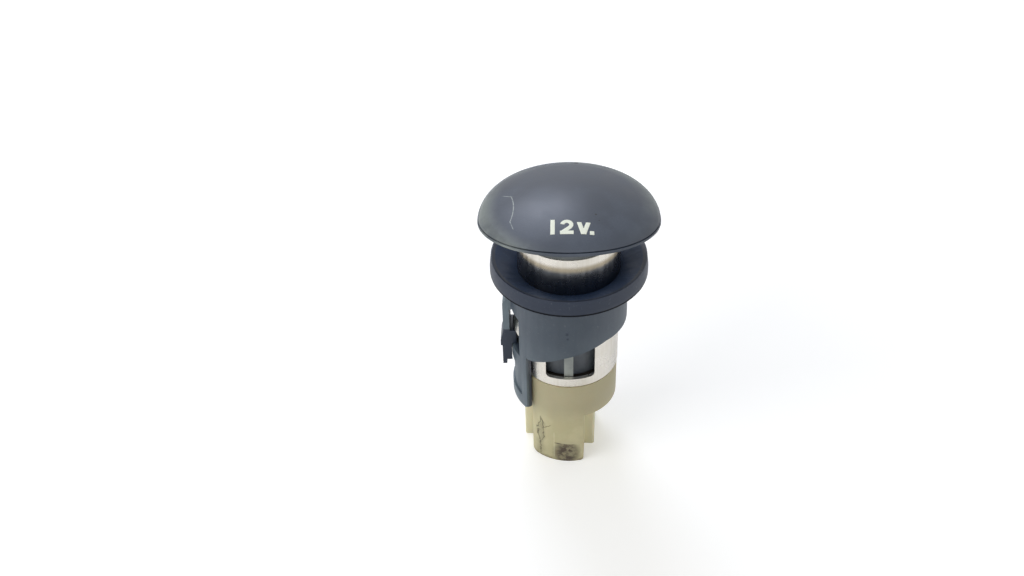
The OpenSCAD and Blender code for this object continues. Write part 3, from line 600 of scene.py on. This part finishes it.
def bowlStroke():
    # the 2's bowl is an arc turned clockwise from its left end, and its tail a cubic curve that
    # leaves the arc in the same direction; the strip is as wide as the stroke, square to the path
    middle, radius = np.array((3.42, 2.53)), np.array((0.95, 0.92))
    angle = np.radians(np.linspace(172, -28, markLook["steps"]))
    arc = middle + radius * np.stack((np.cos(angle), np.sin(angle)), axis=1)
    s = np.linspace(0, 1, markLook["steps"])[1:, None]
    a, b, c, d = arc[-1], arc[-1] + (-0.26, -0.48), np.array((3.15, 1.15)), np.array((2.5, 0.5))
    tail = (1 - s) ** 3 * a + 3 * (1 - s) ** 2 * s * b + 3 * (1 - s) * s ** 2 * c + s ** 3 * d
    path = np.vstack((arc, tail))
    along = np.gradient(path, axis=0)
    along /= np.linalg.norm(along, axis=1)[:, None]
    return path, np.stack((-along[:, 1], along[:, 0]), axis=1) * markLook["strokeMm"] * 0.48


def printedMarking():
    # a plain 12 v. in heavy strokes; where strokes cross, each stands a hair above the last.
    # Places are in millimetres from the marking's bottom left corner
    half, tall, small = markLook["strokeMm"] / 2, markLook["tallMm"], markLook["tallMm"] * 0.81
    strokes = [
        straightStroke((half, 0), (half, tall), (half, 0)),
        bowlStroke(),
        straightStroke((2.0, half), (4.85, half), (0, half)),
        straightStroke((6.0, small), (6.92, 0), (half * 1.06, 0)),
        straightStroke((7.92, small), (6.98, 0), (half * 1.06, 0)),
        straightStroke((8.7, 0), (8.7, 2 * half), (half, 0)),
    ]
    points, faces, count = [], [], 0
    for number, (centre, across) in enumerate(strokes):
        more, rings = inkStroke(centre, across, 0.006 * number)
        faces += [[index + count for index in face] for face in rings]
        points.append(more)
        count += len(more)
    mesh = bpy.data.meshes.new("marking")
    mesh.from_pydata(np.vstack(points).tolist(), [], faces)
    work = bmesh.new()
    work.from_mesh(mesh)
    bmesh.ops.recalc_face_normals(work, faces=work.faces)
    work.to_mesh(mesh)
    work.free()
    mesh.materials.append(padPrintedInk())
    made = bpy.data.objects.new("marking", mesh)
    bpy.context.scene.collection.objects.link(made)
    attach(made, "cap")


printedMarking()
print("marking laid on the dome")


# floor, light and camera

floorLook = {"colour": "#f4f4f2", "widthM": 6.0, "lift": 0.28, "fadeFromM": 0.25, "fadeToM": 1.6}


def paleFloor():
    # a wide matt sheet: to the camera alone it is lifted towards white, so a faint shadow stays,
    # and further out it fades into the white behind it
    half = floorLook["widthM"] / 2
    mesh = bpy.data.meshes.new("floor")
    corners = [(-half, -half, 0), (half, -half, 0), (half, half, 0), (-half, half, 0)]
    mesh.from_pydata(corners, [], [(0, 1, 2, 3)])
    made = bpy.data.objects.new("floor", mesh)
    bpy.context.scene.collection.objects.link(made)
    surface, add, shader = newMaterial("matt white paper", {
        "Base Color": floorLook["colour"], "Roughness": 0.9, "Emission Color": "#ffffff"})
    far = planRadius(add, add("TexCoord", plain, out="Object"))
    near, away = floorLook["fadeFromM"], floorLook["fadeToM"]
    lift = add("MapRange", smooth, far, near, away, floorLook["lift"], 1.0)
    seen = add("LightPath", plain, out="Is Camera Ray")
    join(add("Math", times, seen, lift), shader.inputs["Emission Strength"])
    mesh.materials.append(surface)


paleFloor()

lightLook = {
    "aim": (0.0, 0.0, 0.04),
    "overhead": 0.66, "horizon": 0.46,  # strength of the plain light from above and from the sides
    "rightShare": 0.6,  # how much of it comes from the right
    # the key stands behind and above, for the dome's sheen
    "key": {"at": (-0.15, 0.5, 0.66), "size": 0.34, "watts": 2.0, "colour": "#e6edff"},
    "fill": {"at": (-0.6, -0.35, 0.45), "size": 0.6, "watts": 2.7, "colour": "#ffffff"},
    # low on the right
    "side": {"at": (0.6, -0.22, 0.1), "size": 0.4, "watts": 1.0, "colour": "#ffffff"},
}


def softLights():
    for name in ("key", "fill", "side"):
        values = lightLook[name]
        lamp = bpy.data.lights.new(name, "AREA")
        lamp.size = values["size"]
        lamp.energy = values["watts"]
        lamp.color = toLinear(values["colour"])[:3]
        made = bpy.data.objects.new(name, lamp)
        bpy.context.scene.collection.objects.link(made)
        made.location = values["at"]
        aim = np.array(lightLook["aim"]) - np.array(values["at"])
        made.rotation_euler = Vector(aim).to_track_quat("-Z", "Y").to_euler()


def whiteWorld():
    # white to the camera and to mirror rays, a plain soft grey light to everything else
    world = bpy.data.worlds.new("studio")
    bpy.context.scene.world = world
    world.use_nodes = True
    add = partial(addNode, world.node_tree)
    backdrop = world.node_tree.nodes["Background"]
    backdrop.inputs["Color"].default_value = toLinear("#ffffff")
    camera, glossy, through = (
        add("LightPath", plain, out=ray)
        for ray in ("Is Camera Ray", "Is Glossy Ray", "Is Transmission Ray"))
    seen = add("Math", larger, add("Math", larger, camera, glossy), through)
    aside, _, height = axes(add, add("TexCoord", plain, out="Generated"))
    light = add("MapRange", smooth, height, 0.0, 0.9, lightLook["horizon"], lightLook["overhead"])
    share = add("MapRange", smooth, aside, -0.7, 0.7, 1.0, lightLook["rightShare"])
    light = add("Math", times, light, share)
    join(add("Math", larger, light, seen), backdrop.inputs["Strength"])


softLights()
whiteWorld()

# the camera stands where the photograph was taken: distance and height angle are from the
# flange's top centre, and the pixel is where that point falls in the picture
cameraLook = {
    "focalPixels": 1181.2, "distance": 0.2645, "heightAngle": 36.9,
    "aim": (0.0, 0.0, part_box("bezel_housing")[1][2]), "pixel": (568.8, 252.7),
    "roll": -2.14, "picture": (1024, 576), "sensorMm": 36.0,
}


def placeCamera():
    # the camera first turns aside and then down, so that the aim point falls on its pixel
    values = cameraLook
    height = math.radians(values["heightAngle"])
    roll = math.radians(values["roll"])
    toCamera = np.array((0.0, -math.cos(height), math.sin(height)))
    place = np.array(values["aim"]) + values["distance"] * toCamera
    right = (values["pixel"][0] - values["picture"][0] / 2) / values["focalPixels"]
    up = (values["picture"][1] / 2 - values["pixel"][1]) / values["focalPixels"]
    # the aim point's direction in a camera that isn't rolled
    cosine, sine = math.cos(roll), math.sin(roll)
    seen = np.array((right * cosine - up * sine, right * sine + up * cosine, 1.0))
    seen /= np.linalg.norm(seen)
    pitch = math.acos(-toCamera[2] / math.hypot(seen[1], seen[2])) - math.atan2(seen[2], seen[1])
    ahead = seen[2] * math.cos(pitch) + seen[1] * math.sin(pitch)
    yaw = math.atan2(-toCamera[0], -toCamera[1]) - math.atan2(seen[0], ahead)
    lens = bpy.data.cameras.new("camera")
    lens.sensor_width = values["sensorMm"]
    lens.lens = values["focalPixels"] * values["sensorMm"] / values["picture"][0]
    lens.clip_start = 0.01
    lens.clip_end = 20.0
    made = bpy.data.objects.new("camera", lens)
    bpy.context.scene.collection.objects.link(made)
    made.matrix_world = (
        Matrix.Translation(place) @ Matrix.Rotation(-yaw, 4, "Z")
        @ Matrix.Rotation(math.pi / 2 - pitch, 4, "X") @ Matrix.Rotation(roll, 4, "Z"))
    bpy.context.scene.camera = made
    aside, down = (round(math.degrees(angle), 2) for angle in (yaw, pitch))
    print("camera turned", aside, "aside and", down, "down")


placeCamera()
bpy.context.scene.view_settings.view_transform = "Standard"
